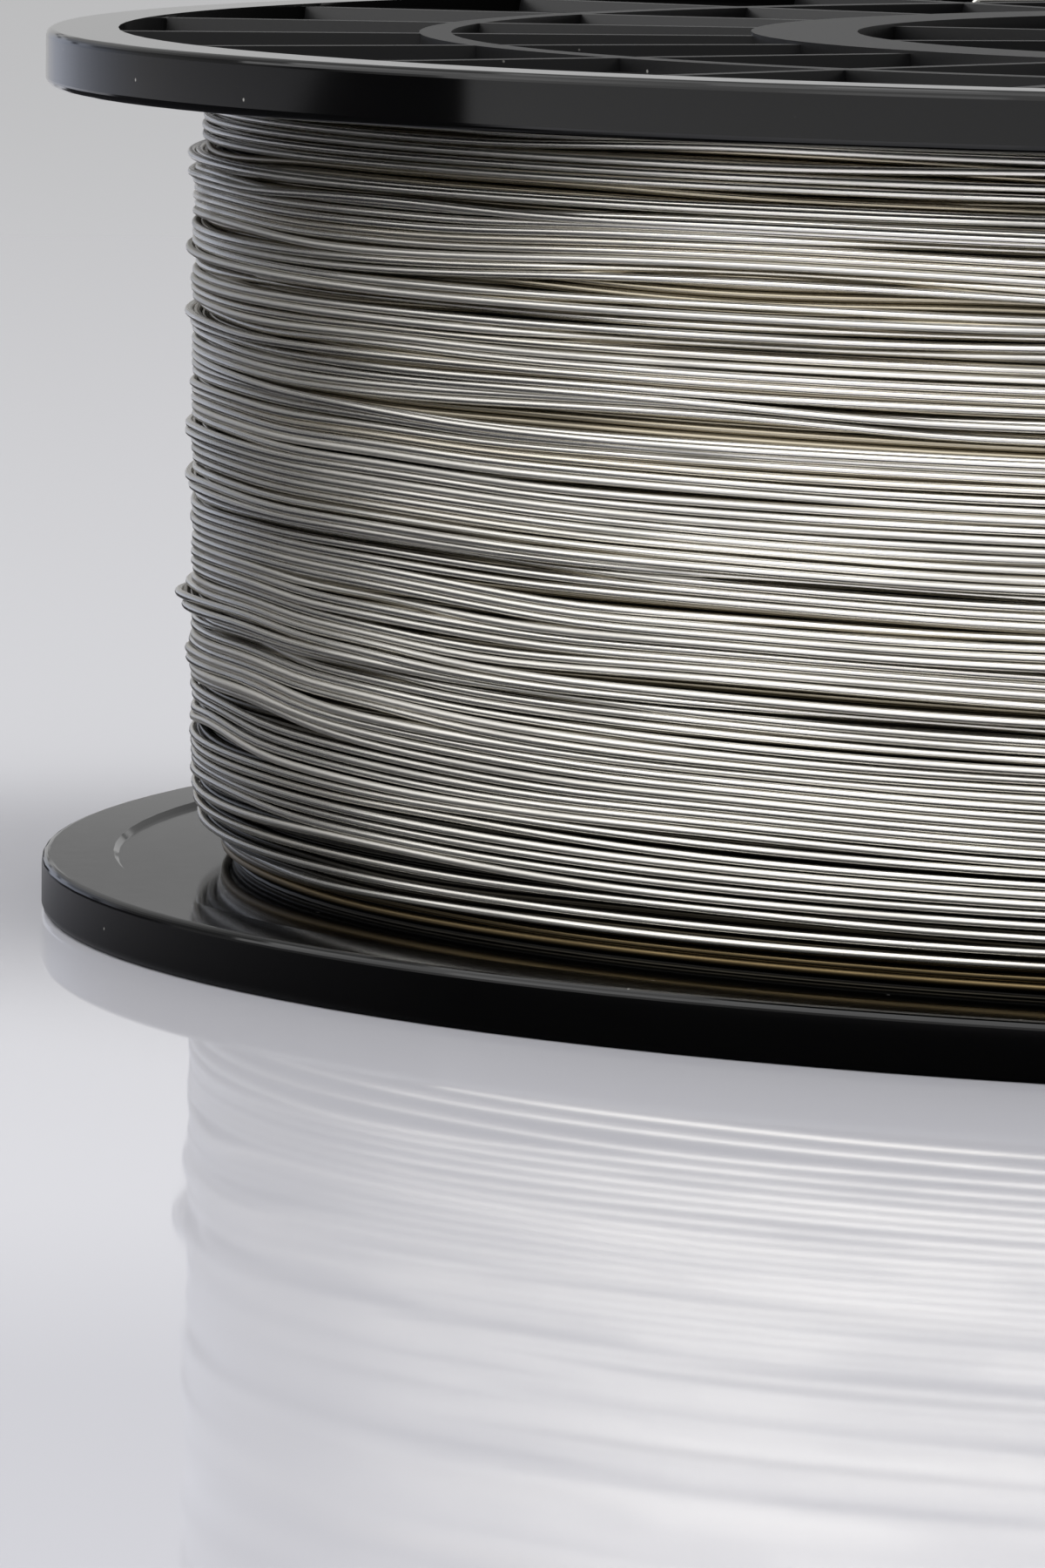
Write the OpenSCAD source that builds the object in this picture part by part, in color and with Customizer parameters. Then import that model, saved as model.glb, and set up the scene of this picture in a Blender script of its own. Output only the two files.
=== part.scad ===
// A moulded plastic spool full of fine bright wire. Two equal flanges clip into the ends of a barrel
// tube, an arbor tube between them forms the spindle bore, and one length of wire is level-wound on
// the barrel. The spool stands on its lower flange; the origin is the middle of that flange's
// outside face, and +Z runs along the bore. Sizes are in millimetres.

/* [Spool] */
// Outside diameter of each flange
flange_d = 200; // [170:1:260]
// Overall width, from one outside face to the other
overall_w = 55; // [45:0.5:90]

/* [Flange] */
// Thickness of the rim
rim_t = 3.5; // [3.2:0.1:6]
// Radial width of the raised band at the rim
rim_band = 4.5; // [3.5:0.1:5.5]
// Rounding of the rim's edges
rim_round = 0.5; // [0.2:0.05:1.2]
// How far the inside of the web lies below the rim band
web_step = 0.3; // [0.1:0.05:0.6]
// Thickness of the web
web_t = 2.2; // [1.6:0.1:2.6]
// Number of radial ribs on the outside of the web
web_ribs = 24; // [12:6:30]
// Thickness of a rib where it leaves the wall
rib_t = 1.8; // [1.2:0.1:2.6]
// How much thinner a rib is at its free edge
rib_draft = 0.4; // [0.1:0.1:0.8]
// Width of the ring rib half way out on the web
ring_rib_w = 2; // [1.2:0.1:4]
// How far the ribs stay short of the plane that the rim stands on
rib_recess = 0.2; // [0.1:0.05:0.4]

/* [Hub] */
// Diameter of the spindle bore
bore_d = 51; // [50.5:0.1:54]
// Lead-in chamfer at each end of the bore
bore_chamfer = 0.6; // [0.3:0.1:1.2]
// Wall of the arbor tube at its ends
arbor_wall = 2.5; // [1.8:0.1:3.5]
// Height of the shoulders that hold the flanges apart
arbor_shoulder = 1.8; // [1:0.1:2.6]
// Wall of the collar round the arbor tube
collar_wall = 3; // [2:0.1:4]
// Depth of the hub cup, to the inside of its floor
cup_depth = 10; // [8:0.5:14]
// Thickness of the cup's floor
cup_floor = 2; // [1.4:0.1:3]
// Number of ribs in the hub cup
cup_ribs = 12; // [6:6:18]
// Diameter of the drive hole
drive_d = 10; // [8:0.5:10.5]
// Distance of the drive hole from the bore's axis
drive_r = 44.5; // [41:0.5:44.5]
// Wall of the boss round the drive hole
drive_wall = 2; // [1.4:0.1:3]

/* [Barrel] */
// Outside diameter of the barrel
barrel_d = 110; // [109:0.5:124]
// Wall of the barrel
barrel_wall = 3; // [2.4:0.1:3.2]
// Width of the land on the outside of the flange, past the barrel
land_w = 1; // [0.5:0.1:1.5]

/* [Clips] */
// Wall of the flange's spigot inside the barrel
spigot_wall = 2.5; // [2:0.1:3.5]
// Thickness of a clip
clip_t = 1.8; // [1.4:0.1:2]
// Length of a clip past the cup's floor
clip_l = 8; // [6:0.5:10]
// Width of a clip, as an angle
clip_angle = 10; // [6:1:16]
// Height of the ring that joins the clips at their roots
clip_root = 0.8; // [0.4:0.1:1.6]
// How far a clip's barb stands out
barb = 0.9; // [0.5:0.05:1.1]
// Height of the barb
barb_h = 3; // [2:0.1:4]
// Width of a key that stops the barrel turning
key_w = 6; // [3:0.5:10]
// Height of a key above the web
key_h = 5; // [3:0.5:8]
// How far a key stands into the barrel's wall
key_depth = 1.2; // [0.6:0.1:1.6]

/* [Wire] */
// Diameter of the wire
wire_d = 0.5; // [0.3:0.05:0.8]
// How far the full winding lies inside the flange's edge
fill_gap = 9.35; // [8.6:0.05:20]
// How far the winding falls away beside each flange
edge_drop = 1.4; // [0:0.1:2]
// Height over which it falls away
edge_h = 6; // [3:0.5:10]
// Number of turns drawn in the outer layer
drawn_turns = 24; // [12:1:24]
// Diameter of the holes that hold the wire's outer end
end_hole_d = 2.2; // [1.4:0.1:2.6]
// How far they lie inside the flange's edge
end_hole_inset = 7; // [6:0.1:7.8]
// Length of the slot that the wire's first end comes out of
start_slot_l = 5; // [3:0.5:8]
// Width of that slot
start_slot_w = 2.2; // [1.6:0.1:3]
// Diameter of the hole that the first end is tucked into
tuck_hole_d = 1.8; // [1.2:0.1:2.4]

/* [Clearances] */
// Between the spigot and the barrel, on the radius
spigot_gap = 0.15; // [0.05:0.05:0.3]
// Between the arbor tube and the collar, on the radius
arbor_gap = 0.1; // [0.05:0.01:0.2]
// Round a barb or a key in the barrel
clip_gap = 0.3; // [0.1:0.05:0.4]
// Between the wire and what it lies on
wire_gap = 0.05; // [0.02:0.01:0.1]

/* [Hidden] */

$fn = 120;
over = 1;
plastic = [0.05, 0.05, 0.055];
tube_black = [0.12, 0.12, 0.13];
bright_wire = [0.78, 0.78, 0.76];
dull_wire = [0.55, 0.55, 0.54];

flange_r = flange_d / 2;
band_r = flange_r - rim_band;
web_in = rim_t - web_step;
web_out = web_in - web_t;

bore_r = bore_d / 2;
arbor_r = bore_r + arbor_wall;
shoulder_r = arbor_r + arbor_shoulder;
collar_in = arbor_r + arbor_gap;
collar_r = collar_in + collar_wall;

barrel_r = barrel_d / 2;
barrel_in = barrel_r - barrel_wall;
land_r = barrel_r + land_w;
ring_rib_r = (land_r + band_r) / 2;
ring_in = ring_rib_r - ring_rib_w / 2;
ring_out = ring_rib_r + ring_rib_w / 2;
spigot_r = barrel_in - spigot_gap;
spigot_in = spigot_r - spigot_wall;

clip_top = cup_depth + clip_l;
barb_base = clip_top - barb_h;
barb_flat = barb_h / 4;
clip_count = 6;
clip_start = 30;
key_angles = [60, 180, 300];

wire_r = wire_d / 2;
rings = 24;
sides = 6;
chord = cos(180 / rings);
winding_r = flange_r - fill_gap;
edge_steps = 6;
pack_low = web_in;
pack_high = overall_w - web_in;
turn_low = pack_low + wire_r + wire_gap;
turn_high = pack_high - wire_r - wire_gap;
pitch = (turn_high - turn_low) / drawn_turns;

// The bay between two ribs where the wire's ends are held, and the height of a wire lying in it
bay = 120;
end_step = 4;
end_angles = [bay - end_step, bay, bay + end_step];
end_hole_r = flange_r - end_hole_inset;
start_r = land_r + start_slot_w;
tuck_r = ring_in - tuck_hole_d;
tail_z = web_out - wire_r - wire_gap;

// Radius of the middle of the wire in the outer layer at height z
function turn_r(z) =
    let (edge = min(z - pack_low, pack_high - z))
    winding_r - wire_r - edge_drop * pow(max(0, 1 - edge / edge_h), 1.5);

// Radius of the plain pack under the outer layer at height z
function pack_r(z) = turn_r(z) * chord - wire_r - 3 * wire_gap;

function polar(r, a, z) = [r * cos(a), r * sin(a), z];
function unit(v) = v / norm(v);
function across(v, t) = unit(v - (v * t) * t);

// ---- Tubes along a route ----

// Direction of a route at each of its points
function headings(p) =
    [for (i = [0:len(p) - 1]) unit(p[min(i + 1, len(p) - 1)] - p[max(i - 1, 0)])];

// One direction square to the route at each point, carried along without twisting
function carried(t, first) =
    [for (i = 0, v = across(first, t[0]); i < len(t);
          i = i + 1, v = i < len(t) ? across(v, t[i]) : v) v];

module tube(p, r, first) {
    t = headings(p);
    u = carried(t, first);
    last = len(p) - 1;
    points = [for (i = [0:last]) let (w = cross(t[i], u[i]))
        for (k = [0:sides - 1]) let (a = 360 * k / sides) p[i] + r * (cos(a) * u[i] + sin(a) * w)];
    skin = [for (i = [0:last - 1]) for (k = [0:sides - 1])
        let (a = i * sides + k, b = i * sides + (k + 1) % sides)
        each [[a, a + sides, b], [b, a + sides, b + sides]]];
    caps = [for (k = [1:sides - 2]) each [[0, k, k + 1],
        [last * sides, last * sides + k + 1, last * sides + k]]];
    polyhedron(points, concat(skin, caps));
}

// ---- Flange ----

// A quarter of a round edge, from one angle to another about its centre
function edge_arc(x, y, from) =
    [for (a = [from:15:from + 90]) [x + rim_round * cos(a), y + rim_round * sin(a)]];

// Section of the whole moulding, from the collar out to the rim and back along the inside
module flange_section() {
    polygon(concat(
        [[collar_in, 0], [collar_r, 0],
         [collar_r, cup_depth - cup_floor], [spigot_in, cup_depth - cup_floor],
         [spigot_in, 0], [land_r, 0], [land_r, web_out],
         [ring_in, web_out], [ring_in, rib_recess], [ring_out, rib_recess], [ring_out, web_out],
         [band_r, web_out], [band_r, 0]],
        edge_arc(flange_r - rim_round, rim_round, -90),
        edge_arc(flange_r - rim_round, rim_t - rim_round, 0),
        [[band_r, rim_t], [band_r - web_step, web_in], [spigot_r, web_in],
         [spigot_r, barb_base], [spigot_r + barb, barb_base], [spigot_r + barb, barb_base + barb_flat],
         [spigot_r - clip_t / 4, clip_top], [spigot_r - clip_t, clip_top],
         [spigot_r - clip_t, cup_depth], [collar_in, cup_depth]]));
}

// A rib with draft, from radius r0 to r1, that widens down to depth h and ends inside the wall there
module rib(r0, r1, h) {
    narrow = rib_t - rib_draft;
    root = cup_floor / 2;
    translate([r0, 0, 0]) rotate([90, 0, 90]) linear_extrude(r1 - r0) polygon([
        [-narrow / 2, rib_recess], [narrow / 2, rib_recess], [rib_t / 2, h], [rib_t / 2, h + root],
        [-rib_t / 2, h + root], [-rib_t / 2, h]]);
}

// What is cut from the ring of barbs so that separate clips remain
module between_clips() {
    step = 360 / clip_count;
    reach = flange_r;
    half = (step - clip_angle) / 2;
    for (i = [0:clip_count - 1])
        rotate(clip_start + step * (i + 0.5)) translate([0, 0, cup_depth + clip_root])
            linear_extrude(clip_top) polygon([
                [0, 0], reach * [cos(half), -sin(half)], [reach, 0], reach * [cos(half), sin(half)]]);
}

module keys() {
    for (a = key_angles) rotate(a)
        translate([spigot_r - over, -key_w / 2, web_in - web_t / 2])
            cube([key_depth + spigot_gap + over, key_w, key_h + web_t / 2]);
}

// Outline of the slot beside the barrel, with round ends, across the radius
module slot_outline() {
    half = (start_slot_l - start_slot_w) / 2;
    r = start_slot_w / 2;
    polygon([for (end = [1, -1]) for (a = [0:15:180])
        [start_r + end * r * cos(a), end * (half + r * sin(a))]]);
}

module through(r, a, d) {
    translate(polar(r, a, -over)) cylinder(h = rim_t + 2 * over, d = d, $fn = 24);
}

module flange() {
    difference() {
        union() {
            rotate_extrude() flange_section();
            for (i = [0:web_ribs - 1])
                rotate(360 / web_ribs * (i + 0.5)) rib(land_r - over, band_r + over, web_out);
            for (i = [0:cup_ribs - 1])
                rotate(360 / cup_ribs * (i + 0.5))
                    rib(collar_r - over, spigot_in + over, cup_depth - cup_floor);
            translate([drive_r, 0, rib_recess])
                cylinder(h = cup_depth - cup_floor / 2 - rib_recess, d = drive_d + 2 * drive_wall, $fn = 60);
            keys();
        }
        between_clips();
        translate([drive_r, 0, -over])
            cylinder(h = cup_depth + 2 * over, d = drive_d, $fn = 60);
        for (a = end_angles) through(end_hole_r, a, end_hole_d);
        through(tuck_r, bay, tuck_hole_d);
        rotate(bay) translate([0, 0, -over]) linear_extrude(rim_t + 2 * over) slot_outline();
    }
}

module lower_flange() { color(plastic) flange(); }

module upper_flange() {
    color(plastic) translate([0, 0, overall_w]) mirror([0, 0, 1]) flange();
}

// ---- Barrel and arbor tube ----

// Groove for the barbs and notches for the keys at one end of the barrel
module barrel_end_cuts() {
    translate([0, 0, barb_base - clip_gap])
        cylinder(h = barb_h + 2 * clip_gap, r = spigot_r + barb + clip_gap);
    for (a = key_angles) rotate(a)
        translate([barrel_in - over, -key_w / 2 - clip_gap, 0])
            cube([key_depth + clip_gap + over, key_w + 2 * clip_gap, web_in + key_h + clip_gap]);
}

module barrel() {
    color(tube_black) difference() {
        translate([0, 0, pack_low]) cylinder(h = pack_high - pack_low, r = barrel_r);
        translate([0, 0, pack_low - over]) cylinder(h = overall_w, r = barrel_in);
        barrel_end_cuts();
        translate([0, 0, overall_w]) mirror([0, 0, 1]) barrel_end_cuts();
    }
}

module arbor_tube() {
    color(tube_black) rotate_extrude() polygon([
        [bore_r + bore_chamfer, 0], [arbor_r, 0], [arbor_r, cup_depth], [shoulder_r, cup_depth],
        [shoulder_r, overall_w - cup_depth], [arbor_r, overall_w - cup_depth], [arbor_r, overall_w],
        [bore_r + bore_chamfer, overall_w], [bore_r, overall_w - bore_chamfer],
        [bore_r, bore_chamfer]]);
}

// ---- Wire ----

// Outline of the pack, with points close together beside the flanges where it falls away
pack_outline = concat(
    [for (i = [0:edge_steps]) let (z = pack_low + edge_h * i / edge_steps) [pack_r(z), z]],
    [for (i = [edge_steps:-1:0]) let (z = pack_high - edge_h * i / edge_steps) [pack_r(z), z]]);

// The inner layers, drawn as one plain pack
module wire_pack() {
    color(dull_wire) rotate_extrude() polygon(concat(
        [[barrel_r + wire_gap, pack_low]], pack_outline, [[barrel_r + wire_gap, pack_high]]));
}

// The outer layer starts where it comes out of the pack. It ends run_out degrees short of the first
// hole at the rim, so that the wire's last end can climb from the winding to that hole.
run_out = 20;
stub = 1.5;
layer_start = bay - end_step - run_out;
stub_r = pack_r(turn_low);
turn_end = polar(turn_r(turn_high), layer_start, turn_high);
along_end = [-sin(layer_start), cos(layer_start), 0];

outer_route = concat(
    [polar(stub_r, layer_start - stub, turn_low), polar(stub_r + wire_d, layer_start - stub, turn_low)],
    [for (i = [0:rings * drawn_turns])
        let (z = turn_low + pitch * i / rings)
        polar(turn_r(z), layer_start + 360 * i / rings, z)],
    [turn_end + wire_d * along_end]);

// Least gap between a turn and the next two, from point to point
route_last = len(outer_route) - 1;
least_gap = min([for (i = [0:route_last]) for (j = [i + rings / 2:1:min(i + 2 * rings, route_last)])
    norm(outer_route[i] - outer_route[j]) - wire_d]);
echo(least_gap_of_outer_layer = least_gap);

module wire_outer_layer() { color(bright_wire) tube(outer_route, wire_r, [0, 0, 1]); }

// First end of the wire: down through the slot, out along the web and up into its own hole
start_route = [
    polar(start_r, bay, web_in),
    polar(start_r, bay, web_in - wire_d),
    polar(start_r, bay, web_out),
    polar(start_r + wire_d / 4, bay, tail_z + wire_d / 4),
    polar(start_r + wire_d, bay, tail_z),
    polar((start_r + tuck_r) / 2, bay, tail_z),
    polar(tuck_r - wire_d, bay, tail_z),
    polar(tuck_r - wire_d / 4, bay, tail_z + wire_d / 4),
    polar(tuck_r, bay, web_out),
    polar(tuck_r, bay, web_in - wire_d)];

module wire_start_tail() { color(bright_wire) tube(start_route, wire_r, [-sin(bay), cos(bay), 0]); }

// Last end of the wire: on from the last turn and out to the rim, up through one hole, along the
// outside of the web and down the next hole
bend = wire_d / end_hole_r * 180 / PI;
climb_steps = 6;
web_top = overall_w - web_out;
tail_top = overall_w - tail_z;
end_route = concat(
    [turn_end + wire_d * along_end, turn_end + 2 * wire_d * along_end],
    [for (i = [1:climb_steps])
        let (share = i / climb_steps)
        polar(norm([turn_end.x, turn_end.y]) * (1 - share) + end_hole_r * share,
            layer_start + (run_out - 2 * bend) * share, turn_high)],
    [for (side = [1, -1]) let (hole = side > 0 ? end_angles[0] : end_angles[1])
        each side > 0
            ? [polar(end_hole_r, hole - bend / 4, turn_high + wire_d / 4),
               polar(end_hole_r, hole, turn_high + wire_d),
               polar(end_hole_r, hole, web_top),
               polar(end_hole_r, hole + bend / 4, tail_top - wire_d / 4),
               polar(end_hole_r, hole + bend, tail_top)]
            : [polar(end_hole_r, hole - bend, tail_top),
               polar(end_hole_r, hole - bend / 4, tail_top - wire_d / 4),
               polar(end_hole_r, hole, web_top),
               polar(end_hole_r, hole, pack_high + wire_d)]]);

module wire_end_tail() { color(bright_wire) tube(end_route, wire_r, [0, 0, 1]); }

lower_flange();
upper_flange();
barrel();
arbor_tube();
wire_pack();
wire_outer_layer();
wire_start_tail();
wire_end_tail();
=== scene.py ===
import bpy
import math
import numpy as np
from mathutils import Matrix, Vector


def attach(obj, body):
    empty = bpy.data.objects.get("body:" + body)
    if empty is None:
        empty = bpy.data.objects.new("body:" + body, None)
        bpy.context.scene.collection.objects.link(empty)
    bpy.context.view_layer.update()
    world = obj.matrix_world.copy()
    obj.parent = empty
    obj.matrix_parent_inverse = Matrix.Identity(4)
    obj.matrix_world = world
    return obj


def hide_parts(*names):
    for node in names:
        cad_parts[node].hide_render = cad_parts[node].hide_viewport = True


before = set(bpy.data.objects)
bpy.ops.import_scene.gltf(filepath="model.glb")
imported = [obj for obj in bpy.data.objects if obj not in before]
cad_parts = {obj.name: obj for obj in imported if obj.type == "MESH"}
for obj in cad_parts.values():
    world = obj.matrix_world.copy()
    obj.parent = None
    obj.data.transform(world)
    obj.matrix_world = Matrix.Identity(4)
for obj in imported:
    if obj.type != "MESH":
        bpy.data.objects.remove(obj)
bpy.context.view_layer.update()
mm = 0.001


def toLinear(hexColour):
    parts = [int(hexColour[i:i + 2], 16) / 255 for i in (1, 3, 5)]
    return tuple(c / 12.92 if c <= 0.04045 else ((c + 0.055) / 1.055) ** 2.4 for c in parts) + (1.0,)


# Adds one node, sets what it is given and links what is a socket.
# A ramp also gets its stops, each one a place and a colour
def addNode(tree, kind, inputs=None, stops=(), **settings):
    node = tree.nodes.new(kind)
    for name, value in settings.items():
        setattr(node, name, value)
    for key, value in (inputs or {}).items():
        if isinstance(value, bpy.types.NodeSocket):
            tree.links.new(value, node.inputs[key])
        else:
            node.inputs[key].default_value = value
    for i, (place, colour) in enumerate(stops):
        ramp = node.color_ramp.elements
        stop = ramp[i] if i < 2 else ramp.new(place)
        stop.position = place
        stop.color = colour
    return node


def newMaterial(name):
    material = bpy.data.materials.new(name)
    material.use_nodes = True
    material.node_tree.nodes.clear()
    return material, material.node_tree


print("camera")
cameraView = {
    "place": (0.0, -0.762, 0.0816),     # metres
    "aimLeft": 5.26,        # degrees that it turns left of the bore's axis
    "tiltDown": 5.57,
    "roll": 0.52,
    "lens": 278.4,          # mm
    "sensor": 36,           # mm wide
    "reach": (0.05, 50),    # metres: the nearest and furthest that it sees
}


def makeCamera(view):
    turn, tilt, roll = (math.radians(view[k]) for k in ("aimLeft", "tiltDown", "roll"))
    forward = Vector((-math.sin(turn) * math.cos(tilt), math.cos(turn) * math.cos(tilt), -math.sin(tilt)))
    level = Vector((math.cos(turn), math.sin(turn), 0))
    upright = level.cross(forward)
    right = math.cos(roll) * level + math.sin(roll) * upright
    up = math.cos(roll) * upright - math.sin(roll) * level
    data = bpy.data.cameras.new("camera")
    data.lens = view["lens"]
    data.sensor_width = view["sensor"]
    data.clip_start, data.clip_end = view["reach"]
    camera = bpy.data.objects.new("camera", data)
    facing = Matrix((right, up, -forward)).transposed().to_4x4()
    camera.matrix_world = Matrix.Translation(view["place"]) @ facing
    bpy.context.scene.collection.objects.link(camera)
    bpy.context.scene.camera = camera


makeCamera(cameraView)

print("materials")
wireLook = {
    "steel": "#e9e6df",
    "warmSteel": "#dccfb3",     # a thin straw tint that some turns have
    "warmTones": (0.7, 1.0),    # each stretch of wire has a tone from 0 to 1, and these turn warm
    "warmMost": 0.5,
    "innerSteelPaintedLight": "#d8cdb6",    # painted warm light: further in, light comes only by way of other turns, which warms it, and this tint is painted in
    "roughness": 0.23,
    "dullRoughness": 0.35,      # of the turns that the die has scuffed
    "dullTones": (0.42, 0.12),
    "lineWidth": 0.09,          # mm; die lines are finer, drawn this coarse so that they show
    "lineLength": 30.0,         # mm
    "lineNoise": (0.3, 0.7),    # from the bottom of a line to the steel between two
    "lineShade": 0.84,
    "lineRoughness": (0.06, -0.04),     # added to the roughness, in a line and beside it
    "linesDeep": 0.1,
    "lineRelief": 0.02,         # mm
    "patchLong": 15.0,          # mm; patches that the guide has rubbed dull, over a few turns together, also painted darker as shade
    "patchHigh": 1.5,
    "patchNoise": (0.52, 0.7),
    "patchDull": 0.1,
    "patchPaintedShade": 0.24,
    "packPitch": 0.5,           # mm between the rings drawn on the plain solid
    "packWobble": 0.4,
    # painted shade: the whole plain solid is painted this dark, as the turns further in get little light
    "packPaintedShade": 0.05,
    "packPaintedGapShade": 0.01,            # painted shade: how bright it is between two rings
    # painted shade: height in mm, and the light left there for the turns further in, painted into their
    # colour, golden at the foot as painted warm light
    "innerPaintedShade": ((3, "#b0a184"), (4.3, "#968a72"), (5.2, "#4c4a46"), (7, "#303030"), (11, "#383838"),
                   (17, "#878787"), (24, "#adadad"), (31, "#c3c3c3")),
}
waveBand = 0.314    # metres between two bands of a Wave texture at scale 1


# Stainless steel wire, drawn bright: a mirror along its length with fine die lines, some turns duller
def makeDrawnSteel(look, name, colour, light=None):
    material, tree = newMaterial(name)
    place = addNode(tree, "ShaderNodeTexCoord")
    around = addNode(tree, "ShaderNodeAttribute", attribute_name="aroundWire")
    along = addNode(tree, "ShaderNodeAttribute", attribute_name="alongWire")
    tone = addNode(tree, "ShaderNodeAttribute", attribute_name="turnTone")
    # die lines: noise round the wire, stretched along it
    ring = addNode(tree, "ShaderNodeVectorMath",
                   {0: around.outputs["Vector"], "Scale": 1 / (look["lineWidth"] * mm)}, operation="SCALE")
    run = addNode(tree, "ShaderNodeMath", {0: along.outputs["Fac"], 1: 1 / look["lineLength"]},
                  operation="MULTIPLY")
    lift = addNode(tree, "ShaderNodeCombineXYZ", {"Z": run.outputs[0]})
    lines = addNode(tree, "ShaderNodeVectorMath", {0: ring.outputs[0], 1: lift.outputs[0]}, operation="ADD")
    streaks = addNode(tree, "ShaderNodeTexNoise", {"Vector": lines.outputs[0], "Scale": 1.0, "Detail": 2.0})
    # colour: the turn's own tint, darker in the lines
    warmFrom, warmTo = look["warmTones"]
    warm = addNode(tree, "ShaderNodeMapRange",
                   {"Value": tone.outputs["Fac"], "From Min": warmFrom, "From Max": warmTo,
                    "To Min": 0.0, "To Max": look["warmMost"]})
    dullFrom, dullTo = look["dullTones"]
    dull = addNode(tree, "ShaderNodeMapRange",
                   {"Value": tone.outputs["Fac"], "From Min": dullFrom, "From Max": dullTo, "To Min": 0.0,
                    "To Max": look["dullRoughness"] - look["roughness"]})
    tint = addNode(tree, "ShaderNodeMix",
                   {0: warm.outputs[0], 6: toLinear(colour), 7: toLinear(look["warmSteel"])},
                   data_type="RGBA")
    deep, high = look["lineNoise"]
    shade = addNode(tree, "ShaderNodeMapRange",
                    {"Value": streaks.outputs["Fac"], "From Min": deep, "From Max": high,
                     "To Min": look["lineShade"], "To Max": 1.0})
    lined = addNode(tree, "ShaderNodeVectorMath", {0: tint.outputs[2], "Scale": shade.outputs[0]},
                    operation="SCALE")
    # painted shade: the colour is multiplied by a ramp of light by height, darker in the turns further in and
    # golden at the foot
    if light:
        height = addNode(tree, "ShaderNodeSeparateXYZ", {"Vector": place.outputs["Object"]})
        top = light[-1][0]
        up = addNode(tree, "ShaderNodeMath", {0: height.outputs["Z"], 1: top * mm}, operation="DIVIDE")
        left = addNode(tree, "ShaderNodeValToRGB", {"Fac": up.outputs[0]},
                       stops=[(z / top, toLinear(glow)) for z, glow in light])
        lined = addNode(tree, "ShaderNodeVectorMath", {0: lined.outputs[0], 1: left.outputs[0]},
                        operation="MULTIPLY")
    # roughness: more in the lines, on dull turns and where the guide has rubbed
    inLine, beside = look["lineRoughness"]
    rough = addNode(tree, "ShaderNodeMapRange",
                    {"Value": streaks.outputs["Fac"], "From Min": deep, "From Max": high,
                     "To Min": look["roughness"] + inLine, "To Max": look["roughness"] + beside})
    across, upward = 1 / (look["patchLong"] * mm), 1 / (look["patchHigh"] * mm)
    spread = addNode(tree, "ShaderNodeMapping",
                     {"Vector": place.outputs["Object"], "Scale": (across, across, upward)})
    rubbed = addNode(tree, "ShaderNodeTexNoise", {"Vector": spread.outputs[0], "Scale": 1.0, "Detail": 2.0})
    clear, dulled = look["patchNoise"]
    patch = addNode(tree, "ShaderNodeMapRange",
                    {"Value": rubbed.outputs["Fac"], "From Min": clear, "From Max": dulled})
    rub = addNode(tree, "ShaderNodeMath", {0: patch.outputs[0], 1: look["patchDull"], 2: dull.outputs[0]},
                  operation="MULTIPLY_ADD")
    worn = addNode(tree, "ShaderNodeMath", {0: rough.outputs[0], 1: rub.outputs[0]}, operation="ADD")
    # painted shade: the same patches are painted darker
    patchShade = addNode(tree, "ShaderNodeMath", {0: patch.outputs[0], 1: -look["patchPaintedShade"], 2: 1.0},
                    operation="MULTIPLY_ADD")
    rubbedShadedSteel = addNode(tree, "ShaderNodeVectorMath", {0: lined.outputs[0], "Scale": patchShade.outputs[0]},
                          operation="SCALE")
    bump = addNode(tree, "ShaderNodeBump", {"Height": streaks.outputs["Fac"], "Strength": look["linesDeep"],
                                            "Distance": look["lineRelief"] * mm})
    shader = addNode(tree, "ShaderNodeBsdfPrincipled",
                     {"Base Color": rubbedShadedSteel.outputs[0], "Metallic": 1.0, "Roughness": worn.outputs[0],
                      "Normal": bump.outputs[0]})
    addNode(tree, "ShaderNodeOutputMaterial", {"Surface": shader.outputs[0]})
    return material


# The turns below the drawn layers: the same steel on a plain solid, ringed like turns, satin, painted dim as
# shade and painted darker between the rings as shade in the grooves
def makeInnerSteel(look):
    material, tree = newMaterial("stainlessWireInnerPaintedShade")
    pitch = look["packPitch"]
    place = addNode(tree, "ShaderNodeTexCoord")
    turns = addNode(tree, "ShaderNodeTexWave",
                    {"Vector": place.outputs["Object"], "Scale": waveBand / (pitch * mm),
                     "Distortion": look["packWobble"], "Detail": 1.0, "Detail Scale": 0.3},
                    bands_direction="Z", wave_type="BANDS")
    # painted shade between the rings, and the whole solid painted dim as shade
    gap = [look["packPaintedGapShade"]] * 3 + [1.0]
    steel = [c * look["packPaintedShade"] for c in toLinear(look["innerSteelPaintedLight"])[:3]] + [1.0]
    colour = addNode(tree, "ShaderNodeMix", {0: turns.outputs["Fac"], 6: gap, 7: steel}, data_type="RGBA")
    bump = addNode(tree, "ShaderNodeBump",
                   {"Height": turns.outputs["Fac"], "Strength": 1.0, "Distance": pitch / 3 * mm})
    shader = addNode(tree, "ShaderNodeBsdfPrincipled",
                     {"Base Color": colour.outputs[2], "Metallic": 1.0, "Roughness": look["dullRoughness"],
                      "Normal": bump.outputs[0]})
    addNode(tree, "ShaderNodeOutputMaterial", {"Surface": shader.outputs[0]})
    return material


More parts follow.
